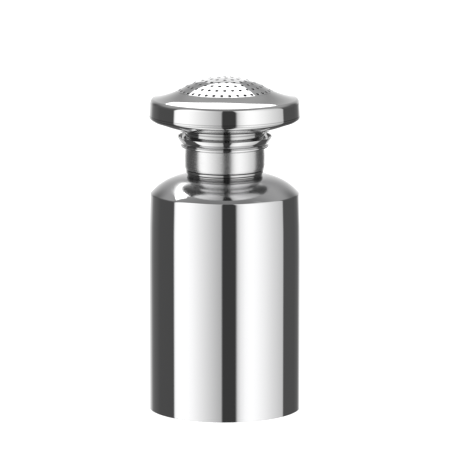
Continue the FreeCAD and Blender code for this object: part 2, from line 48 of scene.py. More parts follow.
# Turning: steps round the axis, and the widest steps of an arc and of a rounded edge.
TURN_STEPS = 256
ARC_STEP = math.radians(4.0)
BLEND_STEP = math.radians(15.0)
# Roundings of sharp edges, the turn from which an edge is sharp, and the most of a run that it takes.
EDGE_ROUND = 0.09
TRIM_ROUND = 0.05
SEAM_ROUND = 0.04
SEAL_ROUND = 0.2
SHARP_TURN = math.radians(6.0)
LARGEST_CUT = 0.3
# Nearer than this to the axis a point lies on it, and nearer than this to each other two are one.
ON_AXIS = 1e-6
SAME_POINT = 1e-5


def arc_centre(start, end, radius, side):
    """Centre of the shorter arc between two points. Side 1 puts it left of the way."""
    along = (end[0] - start[0], end[1] - start[1])
    chord = math.hypot(*along)
    offset = side * math.sqrt(radius**2 - (chord / 2) ** 2) / chord
    return (
        (start[0] + end[0]) / 2 - along[1] * offset,
        (start[1] + end[1]) / 2 + along[0] * offset,
    )


class Line:
    """A straight run of an outline."""

    def __init__(self, start, end):
        self.start, self.end = Vector(start), Vector(end)
        self.length = (self.end - self.start).length

    def at(self, share):
        """Point and direction at a share of the run."""
        return self.start.lerp(self.end, share), (self.end - self.start).normalized()

    def samples(self, low, high):
        return [self.at(low), self.at(high)]


class Arc:
    """A round run of an outline."""

    def __init__(self, start, end, radius, side):
        self.centre = Vector(arc_centre(start, end, radius, side))
        self.radius, self.side = radius, side
        first = Vector(start) - self.centre
        last = Vector(end) - self.centre
        self.first = math.atan2(first.y, first.x)
        sweep = math.atan2(last.y, last.x) - self.first
        while side > 0 and sweep < 0:
            sweep += 2 * math.pi
        while side < 0 and sweep > 0:
            sweep -= 2 * math.pi
        self.sweep = sweep
        self.length = abs(sweep) * radius

    def at(self, share):
        """Point and direction at a share of the run."""
        angle = self.first + self.sweep * share
        out = Vector((math.cos(angle), math.sin(angle)))
        return self.centre + out * self.radius, Vector((-out.y, out.x)) * self.side

    def samples(self, low, high):
        steps = max(2, math.ceil(abs(self.sweep) * (high - low) / ARC_STEP))
        return [self.at(low + (high - low) * i / steps) for i in range(steps + 1)]


def runs_of(corners):
    """Runs between corners. A corner is (r, z), or (r, z, arc radius, side) if an arc leaves it."""
    runs = []
    for corner, following in zip(corners, corners[1:] + corners[:1]):
        if len(corner) == 2:
            runs.append(Line(corner, following[:2]))
        else:
            runs.append(Arc(corner[:2], following[:2], *corner[2:]))
    return runs


def blend_corner(before, after, turn):
    """Points of a rounded corner, between two (point, direction) pairs."""
    reach = (after[0] - before[0]).length / (2 * math.cos(turn / 2))
    handle = reach * 4 / 3 * math.tan(turn / 4) / math.tan(turn / 2)
    p0, p3 = before[0], after[0]
    p1, p2 = p0 + before[1] * handle, p3 - after[1] * handle
    steps = max(2, math.ceil(turn / BLEND_STEP))
    made = []
    for i in range(1, steps):
        t = i / steps
        u = 1 - t
        point = p0 * u**3 + p1 * 3 * u * u * t + p2 * 3 * u * t * t + p3 * t**3
        way = (p1 - p0) * u * u + (p2 - p1) * 2 * u * t + (p3 - p2) * t * t
        made.append((point, way.normalized()))
    return made


def outline_of(corners, rounding=EDGE_ROUND):
    """The closed outline as (point, direction) pairs, its sharp corners rounded."""
    runs = runs_of(corners)
    turns = []
    for run, following in zip(runs, runs[1:] + runs[:1]):
        leaving, entering = run.at(1)[1], following.at(0)[1]
        on_axis = run.at(1)[0].x < ON_AXIS
        turns.append(0.0 if on_axis else leaving.angle(entering))
    outline = []
    for index, run in enumerate(runs):
        turn_in, turn_out = turns[index - 1], turns[index]
        cut = [0.0, 0.0]
        for side, turn in enumerate((turn_in, turn_out)):
            if turn > SHARP_TURN:
                cut[side] = min(rounding * math.tan(turn / 2), run.length * LARGEST_CUT) / run.length
        outline += run.samples(cut[0], 1 - cut[1])
        if turn_out > SHARP_TURN:
            following = runs[(index + 1) % len(runs)]
            back = min(rounding * math.tan(turn_out / 2), following.length * LARGEST_CUT)
            ahead = following.at(back / following.length)
            outline += blend_corner(outline[-1], ahead, turn_out)
    kept = []
    for point, way in outline:
        if not kept or (point - kept[-1][0]).length > SAME_POINT:
            kept.append((point, way))
    while (kept[0][0] - kept[-1][0]).length < SAME_POINT:
        kept.pop()
    return kept


def make_mesh(name, points, faces, normals=None):
    """A mesh object in metres from points in millimetres, with its true normals where given."""
    mesh = bpy.data.meshes.new(name)
    mesh.from_pydata([Vector(p) * MM for p in points], [], faces)
    mesh.shade_smooth()
    if normals:
        mesh.normals_split_custom_set_from_vertices(normals)
    mesh.validate(clean_customdata=False)
    piece = bpy.data.objects.new(name, mesh)
    bpy.context.scene.collection.objects.link(piece)
    return piece


def lathe(name, corners, rounding=EDGE_ROUND, steps=TURN_STEPS):
    """A solid turned about the Z axis from a closed outline that has the solid on its left."""
    outline = outline_of(corners, rounding)
    points, normals, rings = [], [], []
    for point, way in outline:
        radius, height = point
        out, up = way.y, -way.x
        if radius < ON_AXIS:
            rings.append([len(points)] * steps)
            points.append((0, 0, height))
            normals.append((0, 0, math.copysign(1, up)))
            continue
        rings.append(list(range(len(points), len(points) + steps)))
        for i in range(steps):
            angle = 2 * math.pi * i / steps
            points.append((radius * math.cos(angle), radius * math.sin(angle), height))
            normals.append((out * math.cos(angle), out * math.sin(angle), up))
    faces = []
    for ring, following in zip(rings, rings[1:] + rings[:1]):
        for i in range(steps):
            j = (i + 1) % steps
            corners_here = [ring[i], ring[j], following[j], following[i]]
            face = list(dict.fromkeys(corners_here))
            if len(face) > 2:
                faces.append(face)
    return make_mesh(name, points, faces, normals)


# Sizes of the can, from the table upwards.
BODY_RADIUS = 32.95
WALL_HEIGHT = 93.95
WALL_DRAW = 0.55
DRAW_HEIGHT = 26.0
BODY_SHEET = 0.7
FOLD_INNER_RADIUS = 0.4
FOLD_LEAN = math.radians(44.0)
SHOULDER_RISE = 8.2
SHOULDER_RADIUS = 24.4
NECK_RADIUS = 14.4
NECK_ROOT_RADIUS = 0.5
BASE_SHEET = 0.8
BASE_RECESS = 2.5
BASE_INNER_BEND = 0.5
SEAM_GAP = 0.03
BEAD_FOOT_RADIUS = 16.25
BEAD_FOOT_HEIGHT = 0.15
LOWER_BEAD_HEIGHT = 0.85
LOWER_BEAD_ARC = 0.55
UPPER_BEAD_RADIUS = 16.5
UPPER_BEAD_HEIGHT = 1.4
UPPER_BEAD_ARC = 0.85
SLEEVE_HEIGHT = 8.05
SKIRT_GAP = 0.15
SEAL_THICKNESS = 1.8

# Sizes of the head.
BARREL_BORE = 15.9
BARREL_FOOT_RADIUS = 17.0
BARREL_WAIST_RADIUS = 17.3
BARREL_TOP_RADIUS = 17.15
BARREL_CURVE_HEIGHT = 2.0
BARREL_CURVE_ARC = 6.8
BARREL_BULGE_ARC = 60.0
BARREL_TOP_ROUND = 0.35
INSERT_MARGIN = 0.4
COLLAR_SHEET = 0.6
COLLAR_BORE = 14.0
COLLAR_BEAD_RADIUS = 19.1
COLLAR_BEAD_HEIGHT = 1.3
COLLAR_RIM_RADIUS = 20.4
COLLAR_HEIGHT = 4.8
COLLAR_WALL_ARC = 5.5
COLLAR_FLOOR_ROUND = 0.5
STEM_RADIUS = 16.9
STEM_SHEET = 0.6
STEM_HEIGHT = 7.6
CAP_SHEET = 0.6
CAP_RADIUS = 32.8
CAP_TOP_RADIUS = 32.5
CAP_WALL_HEIGHT = 5.6
LOWER_INNER_CORNER = 1.2
UPPER_INNER_CORNER = 1.4
DISH_FLAT_RADIUS = 18.35
DISH_ARC = 26.6
BRIM_ARC = 40.0
BRIM_CENTRE_RADIUS = 37.6
OPENING_RADIUS = 20.66
DOME_SHEET = 0.5
DOME_GAP = 0.06
DOME_ARC = 37.0
DOME_SKIRT_SLOPE = math.radians(29.0)
DOME_CORNER = 0.3
FLANGE_RADIUS = 23.0
CLAMP_GAP = 0.02
HOLE_RADIUS = 0.7
HOLE_PITCH = 3.26
HOLES_PER_STEP = 6
HOLE_RINGS = 6
HOLE_PHASE = {1: 10.0, 2: 0.0, 3: 5.0, 4: 5.4, 5: 0.0, 6: 6.2}

# Threads: one pitch is what the head rises in a turn. The ridges of the head lie half way
# between those of the neck.
THREAD_PITCH = 3.0
THREAD_RIDGE_FOOT = 0.56
THREAD_RIDGE_CREST = 0.22
NECK_THREAD_ROOT = 15.10
NECK_THREAD_CREST = 15.42
HEAD_THREAD_ROOT = 15.48
HEAD_THREAD_CREST = 15.20
NECK_THREAD_PHASE = 0.0
HEAD_THREAD_PHASE = 0.5
THREAD_STEPS = 192
THREAD_ROW = 0.12
THREAD_RUN_OUT = 0.8
THREAD_SHARP_TURN = math.radians(40.0)
SLEEVE_CHAMFER = 0.35

# Sizes of the seal, and of the ring under the brim.
SEAL_CLEARANCE = 0.15
SEAL_BORE_RADIUS = 13.85
RING_SHEET = 0.8
RING_BORE_RADIUS = 20.2
RING_RADIUS = 24.8

# Levels that several pieces share.
CROWN = WALL_HEIGHT + SHOULDER_RISE
LOWER_BEAD = CROWN + BEAD_FOOT_HEIGHT
UPPER_BEAD = LOWER_BEAD + LOWER_BEAD_HEIGHT
BEAD_TOP = UPPER_BEAD + UPPER_BEAD_HEIGHT
NECK_TOP = BEAD_TOP + SLEEVE_HEIGHT
BARREL_FOOT = BEAD_TOP + SKIRT_GAP
COLLAR_FOOT = NECK_TOP + SEAL_THICKNESS
COLLAR_FLOOR = COLLAR_FOOT + COLLAR_SHEET
HEAD_FOOT = COLLAR_FLOOR + STEM_HEIGHT
STEM_BORE = STEM_RADIUS - STEM_SHEET
LOWER_CORNER = LOWER_INNER_CORNER + CAP_SHEET
UPPER_CORNER = UPPER_INNER_CORNER + CAP_SHEET
DISH_SINE = (CAP_RADIUS - LOWER_CORNER - DISH_FLAT_RADIUS) / (DISH_ARC - LOWER_CORNER)
DISH_COSINE = math.sqrt(1 - DISH_SINE**2)
SEAM = HEAD_FOOT + DISH_ARC - (DISH_ARC - LOWER_CORNER) * DISH_COSINE
WALL_TOP = SEAM + CAP_WALL_HEIGHT
CORNER_AT = CAP_TOP_RADIUS - UPPER_CORNER
BRIM_SINE = (BRIM_CENTRE_RADIUS - CORNER_AT) / (BRIM_ARC + UPPER_CORNER)
BRIM_COSINE = math.sqrt(1 - BRIM_SINE**2)
BRIM_CENTRE = WALL_TOP + (BRIM_ARC + UPPER_CORNER) * BRIM_COSINE
BRIM_UNDERSIDE = BRIM_ARC + CAP_SHEET
FLANGE_TOP = BRIM_UNDERSIDE + CLAMP_GAP
FLANGE_BOTTOM = FLANGE_TOP + DOME_SHEET


def under_brim(arc, radius):
    """Height, at that radius, of an arc about the brim's centre."""
    return BRIM_CENTRE - math.sqrt(arc**2 - (BRIM_CENTRE_RADIUS - radius) ** 2)


DOME_WALL = OPENING_RADIUS - DOME_GAP
SLOPE_SINE = math.sin(DOME_SKIRT_SLOPE)
SLOPE_COSINE = math.cos(DOME_SKIRT_SLOPE)
SLOPE_TANGENT = math.tan(DOME_SKIRT_SLOPE)
CROWN_EDGE = DOME_ARC * SLOPE_SINE
SKIRT_FOOT = under_brim(BRIM_ARC, OPENING_RADIUS)
CROWN_EDGE_HEIGHT = SKIRT_FOOT + (DOME_WALL - CROWN_EDGE) * SLOPE_TANGENT
APEX = CROWN_EDGE_HEIGHT + DOME_ARC * (1 - SLOPE_COSINE)


def body_shell():
    """The can: wall, small fold, rounded shoulder, and the upstand of the neck."""
    fold = FOLD_INNER_RADIUS + BODY_SHEET
    fold_radius = BODY_RADIUS - WALL_DRAW
    fold_at = fold_radius - fold
    draw_foot = WALL_HEIGHT - DRAW_HEIGHT
    draw_arc = (DRAW_HEIGHT**2 + WALL_DRAW**2) / (2 * WALL_DRAW)
    lean = (math.cos(FOLD_LEAN), math.sin(FOLD_LEAN))
    root_at = NECK_RADIUS + NECK_ROOT_RADIUS
    root_height = CROWN + NECK_ROOT_RADIUS
    bore = NECK_RADIUS - BODY_SHEET
    inside = BODY_RADIUS - BODY_SHEET
    inner_fold = FOLD_INNER_RADIUS
    return lathe(
        "can_shell",
        [
            (BODY_RADIUS, 0),
            (BODY_RADIUS, draw_foot, draw_arc, 1),
            (fold_radius, WALL_HEIGHT, fold, 1),
            (fold_at + fold * lean[0], WALL_HEIGHT + fold * lean[1], SHOULDER_RADIUS, 1),
            (root_at, CROWN, NECK_ROOT_RADIUS, -1),
            (NECK_RADIUS, root_height),
            (NECK_RADIUS, NECK_TOP),
            (bore, NECK_TOP),
            (bore, root_height, NECK_ROOT_RADIUS + BODY_SHEET, 1),
            (root_at, CROWN - BODY_SHEET, SHOULDER_RADIUS - BODY_SHEET, -1),
            (fold_at + inner_fold * lean[0], WALL_HEIGHT + inner_fold * lean[1], inner_fold, -1),
            (fold_radius - BODY_SHEET, WALL_HEIGHT, draw_arc, -1),
            (inside, draw_foot),
            (inside, 0),
        ],
    )


def base_plate():
    """The recessed plate under the can, its rim standing on the table."""
    rim = BODY_RADIUS - BODY_SHEET - SEAM_GAP
    bend = BASE_INNER_BEND + BASE_SHEET
    underside = BASE_RECESS - BASE_SHEET
    return lathe(
        "base_pan",
        [
            (rim, 0),
            (rim, BASE_RECESS - bend, bend, 1),
            (rim - bend, BASE_RECESS),
            (0, BASE_RECESS),
            (0, underside),
            (rim - bend, underside, BASE_INNER_BEND, -1),
            (rim - BASE_SHEET, BASE_RECESS - bend),
            (rim - BASE_SHEET, 0),
        ],
    )


def neck_bead_ring():
    """Trim ring at the neck's root: a plain foot and two beads of different size."""
    bore = NECK_RADIUS + SEAM_GAP
    relief = NECK_ROOT_RADIUS + SEAM_GAP
    return lathe(
        "neck_trim_ring",
        [
            (NECK_RADIUS + relief, CROWN),
            (BEAD_FOOT_RADIUS, CROWN),
            (BEAD_FOOT_RADIUS, LOWER_BEAD, LOWER_BEAD_ARC, 1),
            (BEAD_FOOT_RADIUS, UPPER_BEAD),
            (UPPER_BEAD_RADIUS, UPPER_BEAD, UPPER_BEAD_ARC, 1),
            (UPPER_BEAD_RADIUS, BEAD_TOP),
            (bore, BEAD_TOP),
            (bore, CROWN + relief),
        ],
        rounding=TRIM_ROUND,
    )


def neck_barrel():
    """Turned skirt of the head, slightly barrel-shaped and drawn in at its lower edge."""
    rounding = BARREL_TOP_ROUND
    return lathe(
        "grip_barrel",
        [
            (BARREL_BORE, BARREL_FOOT),
            (BARREL_FOOT_RADIUS, BARREL_FOOT, BARREL_CURVE_ARC, 1),
            (BARREL_WAIST_RADIUS, BARREL_FOOT + BARREL_CURVE_HEIGHT, BARREL_BULGE_ARC, 1),
            (BARREL_TOP_RADIUS, COLLAR_FOOT - rounding, rounding, 1),
            (BARREL_TOP_RADIUS - rounding, COLLAR_FOOT),
            (BARREL_BORE, COLLAR_FOOT),
        ],
    )


def flared_collar():
    """Spun cup: flat floor, rolled bead at the foot, and a wall that opens to a thin rim."""
    bead = COLLAR_BEAD_HEIGHT / 2
    seat = COLLAR_BEAD_RADIUS - bead
    rim = COLLAR_SHEET / 2
    rim_height = COLLAR_FOOT + COLLAR_HEIGHT - rim
    inner_wall = seat - COLLAR_SHEET
    inner_rim = COLLAR_RIM_RADIUS - COLLAR_SHEET
    return lathe(
        "spun_collar",
        [
            (COLLAR_BORE, COLLAR_FOOT),
            (seat, COLLAR_FOOT, bead, 1),
            (COLLAR_BEAD_RADIUS, COLLAR_FOOT + bead, bead, 1),
            (seat, COLLAR_FOOT + COLLAR_BEAD_HEIGHT, COLLAR_WALL_ARC, 1),
            (COLLAR_RIM_RADIUS, rim_height, rim, 1),
            (COLLAR_RIM_RADIUS - rim, rim_height + rim, rim, 1),
            (inner_rim, rim_height, COLLAR_WALL_ARC - COLLAR_SHEET, -1),
            (inner_wall, COLLAR_FLOOR + COLLAR_FLOOR_ROUND, COLLAR_FLOOR_ROUND, -1),
            (inner_wall - COLLAR_FLOOR_ROUND, COLLAR_FLOOR),
            (COLLAR_BORE, COLLAR_FLOOR),
        ],
    )


def feed_stem():
    """Tube that carries the mushroom head above the collar."""
    return lathe(
        "stem_tube",
        [
            (STEM_BORE, COLLAR_FLOOR),
            (STEM_RADIUS, COLLAR_FLOOR),
            (STEM_RADIUS, HEAD_FOOT),
            (STEM_BORE, HEAD_FOOT),
        ],
    )


def cap_underside():
    """Dished lower half of the head, from the stem out to the butt seam."""
    corner_at = CAP_RADIUS - LOWER_CORNER
    dish_centre = HEAD_FOOT + DISH_ARC
    inner_dish = DISH_ARC - CAP_SHEET
    return lathe(
        "head_dish",
        [
            (STEM_BORE, HEAD_FOOT),
            (DISH_FLAT_RADIUS, HEAD_FOOT, DISH_ARC, 1),
            (
                corner_at + LOWER_CORNER * DISH_SINE,
                dish_centre - DISH_ARC * DISH_COSINE,
                LOWER_CORNER,
                1,
            ),
            (CAP_RADIUS, SEAM),
            (CAP_RADIUS - CAP_SHEET, SEAM, LOWER_INNER_CORNER, -1),
            (
                corner_at + LOWER_INNER_CORNER * DISH_SINE,
                dish_centre - inner_dish * DISH_COSINE,
                inner_dish,
                -1,
            ),
            (DISH_FLAT_RADIUS, HEAD_FOOT + CAP_SHEET),
            (STEM_BORE, HEAD_FOOT + CAP_SHEET),
        ],
        rounding=SEAM_ROUND,
    )


def cap_shell():
    """Upper half of the head: a nearly straight wall, a rounded corner and the hollow brim."""
    outer, inner = UPPER_CORNER, UPPER_INNER_CORNER
    return lathe(
        "head_shell",
        [
            (CAP_RADIUS, SEAM),
            (CAP_TOP_RADIUS, WALL_TOP, outer, 1),
            (CORNER_AT + outer * BRIM_SINE, WALL_TOP + outer * BRIM_COSINE, BRIM_ARC, -1),
            (OPENING_RADIUS, SKIRT_FOOT),
            (OPENING_RADIUS, under_brim(BRIM_UNDERSIDE, OPENING_RADIUS), BRIM_UNDERSIDE, 1),
            (CORNER_AT + inner * BRIM_SINE, WALL_TOP + inner * BRIM_COSINE, inner, -1),
            (CAP_TOP_RADIUS - CAP_SHEET, WALL_TOP),
            (CAP_RADIUS - CAP_SHEET, SEAM),
        ],
        rounding=SEAM_ROUND,
    )


def dome_surface(radius, depth):
    """Point (r, z) and outward normal of the dome, at a depth below its outer face."""
    if radius < CROWN_EDGE:
        lean = math.asin(radius / DOME_ARC)
        height = APEX - DOME_ARC * (1 - math.cos(lean))
    else:
        lean = DOME_SKIRT_SLOPE
        height = CROWN_EDGE_HEIGHT - (radius - CROWN_EDGE) * SLOPE_TANGENT
    normal = (math.sin(lean), math.cos(lean))
    return radius - normal[0] * depth, height - normal[1] * depth, normal


# The perforated sheet: steps round a hole, and the quarter-round lips at both of its ends.
HOLE_STEPS = 24
LIP = 0.10
LIP_ANGLES = (30, 60, 90)
# Steps round the sheet's edge, and the spacing of the rings of points between the holes, with the
# shares of it that they keep clear of a hole and of the edge, and the fewest points in a ring.
SHEET_RING_STEPS = 180
SHEET_GRID = 1.05
HOLE_MARGIN = 0.35
EDGE_MARGIN = 0.6
LEAST_IN_RING = 6
# Exactness of the sheet's triangles, and the width in which its inner face is drawn in.
SHEET_TOLERANCE = 1e-7
DRAWN_IN = 1.1


def hole_places():
    """(radius, angle) of the centre of every hole."""
    places = [(0.0, 0.0)]
    for ring in range(1, HOLE_RINGS + 1):
        count = ring * HOLES_PER_STEP
        start = math.radians(HOLE_PHASE[ring] - 90)
        places += [(ring * HOLE_PITCH, start + 2 * math.pi * i / count) for i in range(count)]
    return places


def hole_frame(place):
    """Centre of a hole on the outer face, and its radial, tangential and outward directions."""
    radius, angle = place
    at, height, (out, up) = dome_surface(radius, 0)
    side = Vector((-math.sin(angle), math.cos(angle), 0))
    normal = Vector((out * math.cos(angle), out * math.sin(angle), up))
    centre = Vector((at * math.cos(angle), at * math.sin(angle), height))
    return centre, side.cross(normal), side, normal


def perforated_dome():
    """The strainer: a sheet with real holes, and its skirt, drop wall and flange turned round it."""
    edge = DOME_WALL - DOME_CORNER + DOME_CORNER * SLOPE_SINE
    flat, loops, rim = [], [], []
    for i in range(SHEET_RING_STEPS):
        angle = 2 * math.pi * i / SHEET_RING_STEPS
        rim.append(len(flat))
        flat.append(Vector((edge * math.cos(angle), edge * math.sin(angle))))
    places = hole_places()
    for place in places:
        centre, along, side, _ = hole_frame(place)
        loop = []
        for i in range(HOLE_STEPS):
            angle = 2 * math.pi * i / HOLE_STEPS
            way = along * math.cos(angle) + side * math.sin(angle)
            loop.append(len(flat))
            flat.append((centre + way * (HOLE_RADIUS + LIP)).to_2d())
        loops.append(loop)
    edges = [(loop[i - 1], loop[i]) for loop in [rim, *loops] for i in range(len(loop))]
    centres = [Vector((r * math.cos(a), r * math.sin(a))) for r, a in places]
    clear = HOLE_RADIUS + LIP + SHEET_GRID * HOLE_MARGIN
    rings = int(edge / SHEET_GRID)
    for ring in range(1, rings + 1):
        radius = ring * edge / (rings + EDGE_MARGIN)
        count = max(LEAST_IN_RING, round(2 * math.pi * radius / SHEET_GRID))
        for i in range(count):
            angle = 2 * math.pi * (i + ring / 2) / count
            spot = Vector((radius * math.cos(angle), radius * math.sin(angle)))
            if min((spot - c).length for c in centres) > clear:
                flat.append(spot)
    spots, _, triangles, *_ = delaunay_2d_cdt(flat, edges, [], 0, SHEET_TOLERANCE)
    if len(spots) != len(flat):
        raise RuntimeError("the sheet's triangulation added points")
    # A triangle with all its corners on one loop would close that hole. Points elsewhere get a
    # number of their own, below those of the loops.
    loop_of = {v: n for n, loop in enumerate(loops) for v in loop}
    triangles = [t for t in triangles if len({loop_of.get(v, -v - 1) for v in t}) > 1]
    points, normals, faces = [], [], []
    count = len(spots)
    for depth, sign in ((0.0, 1), (DOME_SHEET, -1)):
        for spot in spots:
            radius = spot.length
            r, z, (out, up) = dome_surface(radius, depth)
            if depth:
                r = min(r, narrowed(r))
            c, s = (spot / radius) if radius else (1, 0)
            points.append((r * c, r * s, z))
            normals.append((sign * out * c, sign * out * s, sign * up))
    for a, b, c in triangles:
        flip = (spots[b] - spots[a]).cross(spots[c] - spots[a]) < 0
        if flip:
            b, c = c, b
        faces.append((a, b, c))
        faces.append((a + count, c + count, b + count))
    for place, loop in zip(places, loops):
        add_hole(place, loop, count, points, normals, faces)
    add_skirt(rim, count, edge, points, normals, faces)
    return make_mesh("strainer_dome", points, faces, normals)


def narrowed(radius):
    """Draws the sheet's inner face in towards the edge, where it meets the drop wall."""
    start = DOME_WALL - DOME_SHEET - DRAWN_IN
    if radius <= start:
        return radius
    reach = DOME_WALL - DOME_CORNER + DOME_CORNER * SLOPE_SINE - DOME_SHEET * SLOPE_SINE
    return start + (radius - start) * (DOME_WALL - DOME_SHEET - start) / (reach - start)


def add_hole(place, loop, count, points, normals, faces):
    """The wall of a hole: a quarter-round lip, the punched wall, and the lip of the inner face."""
    centre, along, side, normal = hole_frame(place)
    quarter = [math.radians(a) for a in LIP_ANGLES]
    rows = [(1 - math.sin(a), LIP * (1 - math.cos(a)), math.cos(a)) for a in quarter]
    rows += [(share, DOME_SHEET - depth, -up) for share, depth, up in reversed(rows)]
    before = loop
    for share, depth, up in rows:
        ring = list(range(len(points), len(points) + HOLE_STEPS))
        for i in range(HOLE_STEPS):
            angle = 2 * math.pi * i / HOLE_STEPS
            way = along * math.cos(angle) + side * math.sin(angle)
            points.append(centre + way * (HOLE_RADIUS + LIP * share) - normal * depth)
            normals.append(normal * up - way * math.sqrt(max(0, 1 - up * up)))
        join_rings(before, ring, faces)
        before = ring
    join_rings(before, [v + count for v in loop], faces)


def join_rings(upper, lower, faces):
    """Quads between two rings of one count, facing the side that the first ring's order gives."""
    for i in range(len(upper)):
        faces.append((upper[i - 1], upper[i], lower[i], lower[i - 1]))


def add_skirt(rim, count, edge, points, normals, faces):
    """Rounded corner, drop wall, clamped flange and the way back up to the sheet's inner face."""
    drop_inside = DOME_WALL - DOME_SHEET
    corner_height = dome_surface(edge, 0)[1] - DOME_CORNER * SLOPE_COSINE
    inner_end = Vector(points[rim[0] + count])
    corners = [
        (edge, dome_surface(edge, 0)[1]),
        (DOME_WALL, corner_height),
        (DOME_WALL, under_brim(FLANGE_TOP, DOME_WALL)),
        (FLANGE_RADIUS, under_brim(FLANGE_TOP, FLANGE_RADIUS)),
        (FLANGE_RADIUS, under_brim(FLANGE_BOTTOM, FLANGE_RADIUS)),
        (drop_inside, under_brim(FLANGE_BOTTOM, drop_inside)),
        (inner_end.xy.length, inner_end.z),
    ]
    runs = [
        Arc(corners[0], corners[1], DOME_CORNER, -1),
        Line(corners[1], corners[2]),
        Arc(corners[2], corners[3], FLANGE_TOP, 1),
        Line(corners[3], corners[4]),
        Arc(corners[4], corners[5], FLANGE_BOTTOM, -1),
        Line(corners[5], corners[6]),
    ]
    before = rim
    for number, run in enumerate(runs):
        samples = run.samples(0, 1)
        first = 1 if number == 0 else 0
        last = len(samples) - (1 if number == len(runs) - 1 else 0)
        for point, way in samples[first:last]:
            ring = list(range(len(points), len(points) + len(rim)))
            for i in range(len(rim)):
                angle = 2 * math.pi * i / len(rim)
                c, s = math.cos(angle), math.sin(angle)
                points.append((point.x * c, point.x * s, point.y))
                normals.append((-way.y * c, -way.y * s, way.x))
            join_rings(ring, before, faces)
            before = ring
    join_rings([v + count for v in rim], before, faces)


def thread_ridge(angle, height, phase):
    """How far up a ridge of the right-hand thread a point is, from 0 in the root to 1 on the crest."""
    turns = height / THREAD_PITCH - angle / (2 * math.pi) - phase
    off = abs(turns - round(turns)) * THREAD_PITCH
    share = (THREAD_RIDGE_FOOT - off) / (THREAD_RIDGE_FOOT - THREAD_RIDGE_CREST)
    share = max(0.0, min(1.0, share))
    return share * share * (3 - 2 * share)


def threaded_ring(name, low, high, plain, root, crest, phase, lead=0.0):
    """A ring with a thread on one side, chamfered at its top over the lead, and a plain wall."""
    rows = round((high - low) / THREAD_ROW)
    sides = []
    for row in range(rows + 1):
        height = low + (high - low) * row / rows
        run_out = min(1.0, (height - low) / THREAD_RUN_OUT, (high - height) / THREAD_RUN_OUT)
        chamfer = max(0.0, lead - (high - height)) * math.copysign(1, plain - crest)
        ring = []
        for i in range(THREAD_STEPS):
            angle = 2 * math.pi * i / THREAD_STEPS
            radius = root + (crest - root) * thread_ridge(angle, height, phase) * run_out + chamfer
            ring.append((radius * math.cos(angle), radius * math.sin(angle), height))
        sides.append(ring)
    walls = []
    for height in (low, high):
        turn = [2 * math.pi * i / THREAD_STEPS for i in range(THREAD_STEPS)]
        walls.append([(plain * math.cos(a), plain * math.sin(a), height) for a in turn])
    rings = [walls[0], *sides, walls[1]] if plain < crest else [walls[1], *reversed(sides), walls[0]]
    points = [p for ring in rings for p in ring]
    faces = []
    for number in range(len(rings)):
        start, after = number * THREAD_STEPS, (number + 1) % len(rings) * THREAD_STEPS
        for i in range(THREAD_STEPS):
            j = (i + 1) % THREAD_STEPS
            faces.append((start + i, start + j, after + j, after + i))
    piece = make_mesh(name, points, faces)
    piece.data.set_sharp_from_angle(angle=THREAD_SHARP_TURN)
    return piece


def neck_thread_sleeve():
    """Sleeve on the can's upstand with the outside thread."""
    return threaded_ring(
        "neck_thread",
        BEAD_TOP,
        NECK_TOP,
        NECK_RADIUS + SEAM_GAP,
        NECK_THREAD_ROOT,
        NECK_THREAD_CREST,
        NECK_THREAD_PHASE,
        SLEEVE_CHAMFER,
    )


def thread_insert():
    """Ring in the barrel's bore with the inside thread."""
    return threaded_ring(
        "head_thread",
        BARREL_FOOT + INSERT_MARGIN,
        NECK_TOP - INSERT_MARGIN,
        BARREL_BORE - SEAM_GAP,
        HEAD_THREAD_ROOT,
        HEAD_THREAD_CREST,
        HEAD_THREAD_PHASE,
    )


def seal_ring():
    """Flat silicone seal between the top of the neck and the collar."""
    outside = BARREL_BORE - SEAL_CLEARANCE
    return lathe(
        "silicone_seal",
        [
            (SEAL_BORE_RADIUS, NECK_TOP),
            (outside, NECK_TOP),
            (outside, COLLAR_FOOT),
            (SEAL_BORE_RADIUS, COLLAR_FOOT),
        ],
        rounding=SEAL_ROUND,
    )


def dome_retaining_ring():
    """Clamps the dome's flange from below."""
    step = FLANGE_RADIUS + DOME_GAP
    ring_top = FLANGE_BOTTOM + CLAMP_GAP
    ring_bottom = ring_top + RING_SHEET
    return lathe(
        "clamp_ring",
        [
            (RING_BORE_RADIUS, under_brim(ring_top, RING_BORE_RADIUS), ring_top, 1),
            (step, under_brim(ring_top, step)),
            (step, under_brim(FLANGE_TOP, step), FLANGE_TOP, 1),
            (RING_RADIUS, under_brim(FLANGE_TOP, RING_RADIUS)),
            (RING_RADIUS, under_brim(ring_bottom, RING_RADIUS), ring_bottom, -1),
            (RING_BORE_RADIUS, under_brim(ring_bottom, RING_BORE_RADIUS)),
        ],
        rounding=TRIM_ROUND,
    )


